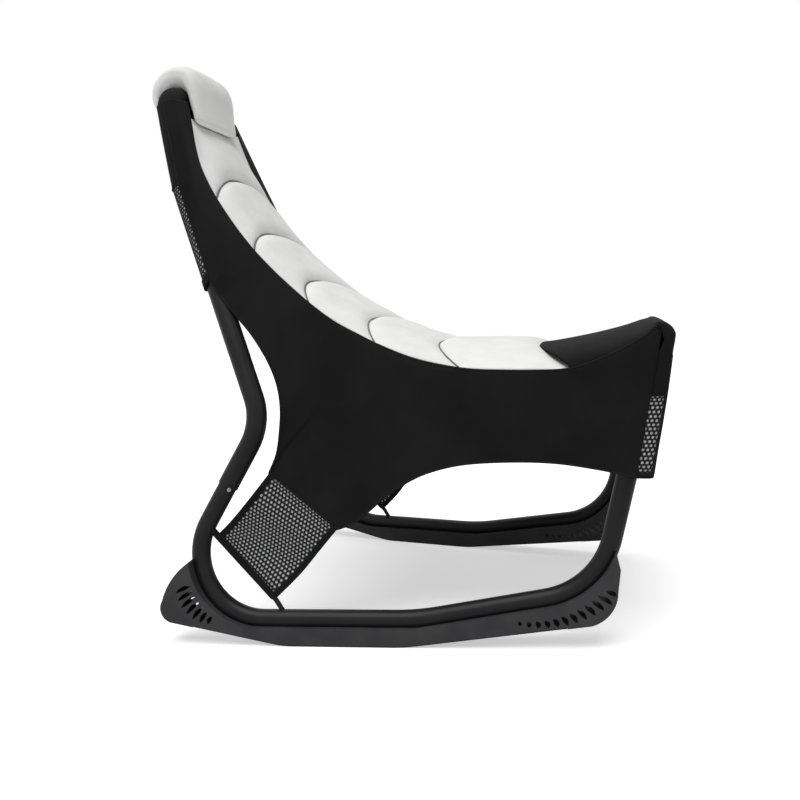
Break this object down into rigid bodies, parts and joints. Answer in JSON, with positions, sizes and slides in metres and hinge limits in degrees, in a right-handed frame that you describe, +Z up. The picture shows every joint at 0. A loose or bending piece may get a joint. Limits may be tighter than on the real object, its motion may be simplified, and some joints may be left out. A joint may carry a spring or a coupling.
{
  "type": "gaming rocker chair",
  "caption": "Rocking floor chair: bent tube frame on moulded runners, stretched fabric sling with a channelled seat pad, mesh insets and a saddle head pillow.",
  "frame": {"origin": "Middle of the bounding box on the floor, which is the underside of the grip strips' flat stretch.", "axes": "+Z up, the seat faces -Y, +X is the sitter's left; the chair is symmetric about the plane x = 0."},
  "size_m": [0.689, 0.9042, 0.99],
  "materials": {
    "frame_metal": "matte black powder coat",
    "shoe_plastic": "satin dark grey moulding",
    "grip_rubber": "dull black rubber",
    "rod_metal": "black painted rod",
    "screw_metal": "black screws",
    "button_metal": "bright plated steel",
    "spring_metal": "plain spring steel",
    "black_fabric": "stretched black knit",
    "mesh_fabric": "open black spacer mesh",
    "pale_fabric": "soft pale suede"
  },
  "bodies": {
    "frame": {"back_frame_tube": "frame_metal", "front_frame_tube": "frame_metal", "runner_tube_left": "frame_metal", "runner_tube_right": "frame_metal", "rocker_shoe_left": "shoe_plastic", "rocker_shoe_right": "shoe_plastic", "grip_strip_left": "grip_rubber", "grip_strip_right": "grip_rubber", "tail_rod_left": "rod_metal", "tail_rod_right": "rod_metal", "shoe_screws_left": "screw_metal", "shoe_screws_right": "screw_metal", "snap_spring_rear_left": "spring_metal", "snap_spring_rear_right": "spring_metal", "snap_spring_front_left": "spring_metal", "snap_spring_front_right": "spring_metal", "side_membrane_left": "black_fabric", "side_membrane_right": "black_fabric", "tail_mesh_left": "mesh_fabric", "tail_mesh_right": "mesh_fabric", "front_mesh": "mesh_fabric", "back_mesh": "mesh_fabric", "front_panel": "black_fabric", "back_panel": "black_fabric", "top_sleeve": "black_fabric", "seat_pad": "pale_fabric"},
    "snap_button_rear_left": {"snap_button_rear_left": "button_metal"},
    "snap_button_rear_right": {"snap_button_rear_right": "button_metal"},
    "snap_button_front_left": {"snap_button_front_left": "button_metal"},
    "snap_button_front_right": {"snap_button_front_right": "button_metal"},
    "head_pillow": {"head_pillow": "pale_fabric"}
  },
  "joints": [
    {"name": "snap_button_rear_right_press", "type": "slide", "parent": "frame", "child": "snap_button_rear_right", "axis": [-0.8092, -0.5682, -0.1494], "range_m": [-0.0035, 0], "stiffness_N_per_m": 400, "deforming": ["snap_spring_rear_right"]},
    {"name": "snap_button_rear_left_press", "type": "slide", "parent": "frame", "child": "snap_button_rear_left", "axis": [0.8092, -0.5682, -0.1494], "range_m": [-0.0035, 0], "stiffness_N_per_m": 400, "deforming": ["snap_spring_rear_left"]},
    {"name": "snap_button_front_right_press", "type": "slide", "parent": "frame", "child": "snap_button_front_right", "axis": [0.9996, 0.0065, -0.0276], "range_m": [-0.0035, 0], "stiffness_N_per_m": 400, "deforming": ["snap_spring_front_right"]},
    {"name": "snap_button_front_left_press", "type": "slide", "parent": "frame", "child": "snap_button_front_left", "axis": [-0.9996, 0.0065, -0.0276], "range_m": [-0.0035, 0], "stiffness_N_per_m": 400, "deforming": ["snap_spring_front_left"]},
    {"name": "head_pillow_slide", "type": "slide", "parent": "frame", "child": "head_pillow", "axis": [0, 0.3013, 0.9535], "range_m": [0, 0.1]}
  ]
}
